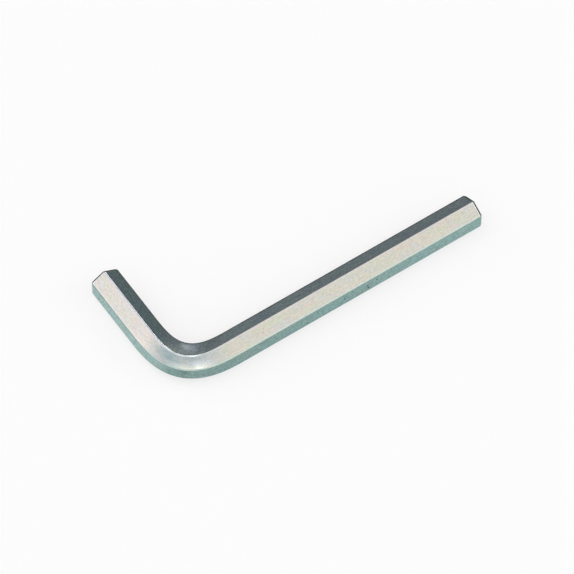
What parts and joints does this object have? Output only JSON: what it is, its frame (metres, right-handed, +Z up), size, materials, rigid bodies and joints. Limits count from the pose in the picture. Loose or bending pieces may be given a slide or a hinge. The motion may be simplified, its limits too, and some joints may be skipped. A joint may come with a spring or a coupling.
{
  "type": "hex key",
  "caption": "Short-arm hex key: one hexagonal steel bar bent to a right angle, with a bevelled driving tip on each arm.",
  "frame": {"origin": "under the middle of the key's outline, on the surface that it lies on", "axes": "+X along the long arm towards its tip, +Y along the short arm towards its tip, +Z up, square to the flat L that the two arms make"},
  "size_m": [0.096, 0.04, 0.0091],
  "materials": {
    "plated_steel": "drawn bar with a thin, slightly mottled bright plating, satin to semi-gloss, with faint draw lines along the bar"
  },
  "bodies": {
    "root": {"hex_key": "plated_steel"}
  },
  "joints": []
}
